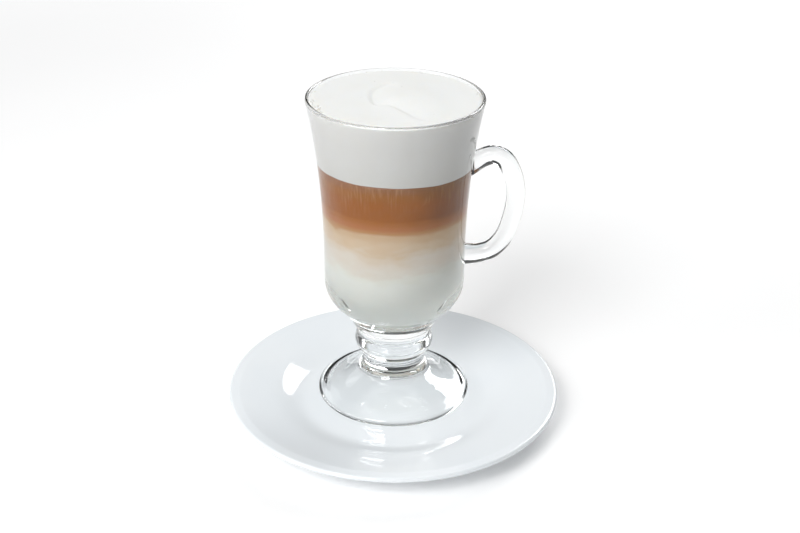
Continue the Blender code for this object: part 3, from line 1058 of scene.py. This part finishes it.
# %% [markdown]
# ## The skin of a bubble
# A larger bubble is a film of milk around air: glossy, and thin enough that some light goes
# through. It shares the foam's white, a shade warmer, so the bubbles show by their gloss.

# %% Bubble finish
BUBBLE_COLOURS = ((0.3, (0.90, 0.88, 0.80)), (0.7, (0.95, 0.94, 0.90)))


def bubble_finish():
    """The wet skin of a larger bubble: see-through, glossy and faintly warm."""
    material, tree, shader, place = new_finish(
        "bubble_skin", Roughness=0.05, IOR=1.33, Transmission_Weight=0.3)
    tint = noise(tree, place, scale=900.0, detail=1.0)
    tree.links.new(colour_ramp(tree, tint, BUBBLE_COLOURS), shader.inputs["Base Color"])
    return material


wear(foam_bubbles, bubble_finish())

# %% [markdown]
# ## Porcelain glaze
# Glaze is glass melted over white clay: a cool white body under a clear, hard gloss that
# mirrors lamps. It is never perfectly level, which a wide, faint bump gives, and the ring it
# stands on in the kiln stays bare, rougher and a little warmer.

# %% Glaze finish
BARE_RING_HEIGHT = 0.0007
GLAZE_COLOURS = ((0.35, (0.83, 0.87, 0.90)), (0.65, (0.85, 0.885, 0.91)))
BARE_CLAY = (0.72, 0.69, 0.64, 1)
BARE_ROUGHNESS = 0.8
GLAZE_ROUGHNESS = 0.06


def porcelain_glaze():
    """Cool white with a hard gloss, uneven by a hair, and bare clay on the foot ring."""
    material, tree, shader, place = new_finish("porcelain_glaze", IOR=1.47)
    glaze = colour_ramp(tree, noise(tree, place, scale=25.0), GLAZE_COLOURS)
    glazed = reckon(tree, "GREATER_THAN", parts_of(tree, place)["Z"], BARE_RING_HEIGHT)
    tree.links.new(mixed(tree, glazed, BARE_CLAY, glaze), shader.inputs["Base Color"])
    gloss = share_between(tree, glazed, 0.0, 1.0, BARE_ROUGHNESS, GLAZE_ROUGHNESS)
    tree.links.new(gloss, shader.inputs["Roughness"])
    bump(tree, shader, noise(tree, place, scale=55.0, detail=1.0), strength=0.05, distance=0.001)
    return material


wear(saucer, porcelain_glaze())

# %% [markdown]
# ## The floor
# The floor is a plain white sheet. It glows faintly under the set and more far away, like a
# sweep that is lit by itself, so that it stays white up to its horizon. The glow is part of
# its finish and grows with the distance from the middle, which needs no extra lamps.

# %% Floor
FLOOR_HALF = 6.0
FLOOR_GLOW = 0.12
FAR_GLOW = 0.70
# Distances from the set's middle between which the glow grows
GLOW_GROWS = (0.6, 1.6)
FLOOR_COLOURS = ((0.3, (0.90, 0.90, 0.90)), (0.7, (0.92, 0.92, 0.92)))


def floor_sheet():
    """A plain square: x and y from -half to half, on the level that the saucer stands on."""
    side = np.array([-FLOOR_HALF, FLOOR_HALF])
    x, y = np.meshgrid(side, side, indexing="ij")
    points = np.column_stack([x.ravel(), y.ravel(), np.zeros(4)])
    return add_mesh("floor", points, np.array([[0, 2, 3, 1]]), np.zeros((0, 3), int))


def sheet_finish():
    """Pale paper, faintly uneven, that glows by a smooth step of the distance."""
    material, tree, shader, place = new_finish(
        "pale_sheet", Roughness=0.9, Emission_Color=(1, 1, 1, 1))
    distance = add(tree, "ShaderNodeVectorMath", {0: place}, operation="LENGTH").outputs["Value"]
    glow = share_between(tree, distance, *GLOW_GROWS, FLOOR_GLOW, FAR_GLOW, curve="SMOOTHSTEP")
    tree.links.new(glow, shader.inputs["Emission Strength"])
    paper = colour_ramp(tree, noise(tree, place, scale=3.0), FLOOR_COLOURS)
    tree.links.new(paper, shader.inputs["Base Color"])
    return material


floor = floor_sheet()
wear(floor, sheet_finish())

# %% [markdown]
# ## The lamps
# The photograph is a bright product shot. Its shadows and highlights tell where the lights
# stood: large soft ones at the front left, which shade the layers from left to right, a wide
# one behind on the right, which shines in the saucer's cove and lights the mug's right edge,
# and a weak one behind on the left.

# %% Lights
LAMPS_LOOK_AT = (0.0, 0.0, 0.07)
# Each lamp: name, place, width and height, and watts
LAMPS = (
    ("key_left", (-0.52, -0.90, 0.94), (0.6, 0.6), 12.6),
    ("key_side", (-1.12, -0.60, 0.59), (0.6, 0.6), 4.8),
    ("back_left", (-1.04, 0.73, 0.59), (0.6, 0.6), 1.2),
    ("back_right", (0.60, 0.99, 0.78), (0.85, 0.40), 9.4),
)


def soft_light(name, place, size, power):
    """A rectangular lamp turned so that its face looks at the set: the columns of its turn
    are its right, its up and its back, each square to the other two."""
    lamp = bpy.data.lights.new(name, "AREA")
    lamp.shape = "RECTANGLE"
    lamp.size, lamp.size_y = size
    lamp.energy = power
    holder = bpy.data.objects.new(name, lamp)
    back = unit(np.array(place) - LAMPS_LOOK_AT)
    right = unit(np.cross((0.0, 0.0, 1.0), back))
    turn = Matrix(np.column_stack([right, np.cross(back, right), back]).tolist())
    holder.matrix_world = Matrix.Translation(place) @ turn.to_4x4()
    scene.collection.objects.link(holder)
    print(name, "shines with", power, "watts")


for lamp_row in LAMPS:
    soft_light(*lamp_row)

# %% [markdown]
# ## The room
# Around the set the room is dim near the horizon and bright overhead. That is what draws
# the dark lines in the glass, since a line shows where the glass bends the view away from
# the white sheet into the dim part of the room. Seen directly, behind the far edge of the
# sheet, the room is a plain pale backdrop, so a low view has no black sky.

# %% Room light
# Sines of the angle above the horizon between which the room turns from dim to bright
ROOM_TURNS_BRIGHT = (0.82, 0.94)
ROOM_DIM = 0.05
ROOM_BRIGHT = 1.0
ROOM_BACKDROP = 0.90
ROOM_COLOUR = (0.98, 0.99, 1.0, 1)


def room():
    """World light by direction: a smooth step along Z from the dim to the bright value. For a
    straight look at it, the backdrop's value holds wherever it is the larger one."""
    world = bpy.data.worlds.new("studio_room")
    world.use_nodes = True
    tree = world.node_tree
    upward = parts_of(tree, add(tree, "ShaderNodeTexCoord").outputs["Generated"])["Z"]
    light = share_between(
        tree, upward, *ROOM_TURNS_BRIGHT, ROOM_DIM, ROOM_BRIGHT, curve="SMOOTHSTEP")
    straight = add(tree, "ShaderNodeLightPath").outputs["Is Camera Ray"]
    backdrop = reckon(tree, "MULTIPLY", straight, ROOM_BACKDROP)
    background = tree.nodes["Background"]
    background.inputs["Color"].default_value = ROOM_COLOUR
    tree.links.new(reckon(tree, "MAXIMUM", backdrop, light), background.inputs["Strength"])
    return world


scene.world = room()
print("the room is bright from", round(float(np.degrees(np.arcsin(ROOM_TURNS_BRIGHT[1])))), "degrees up")

# %% [markdown]
# ## Last steps
# A product shot keeps its white, so the colours are shown as they are, without the soft
# shoulder of a film look.

# %% View transform
scene.view_settings.view_transform = "Standard"
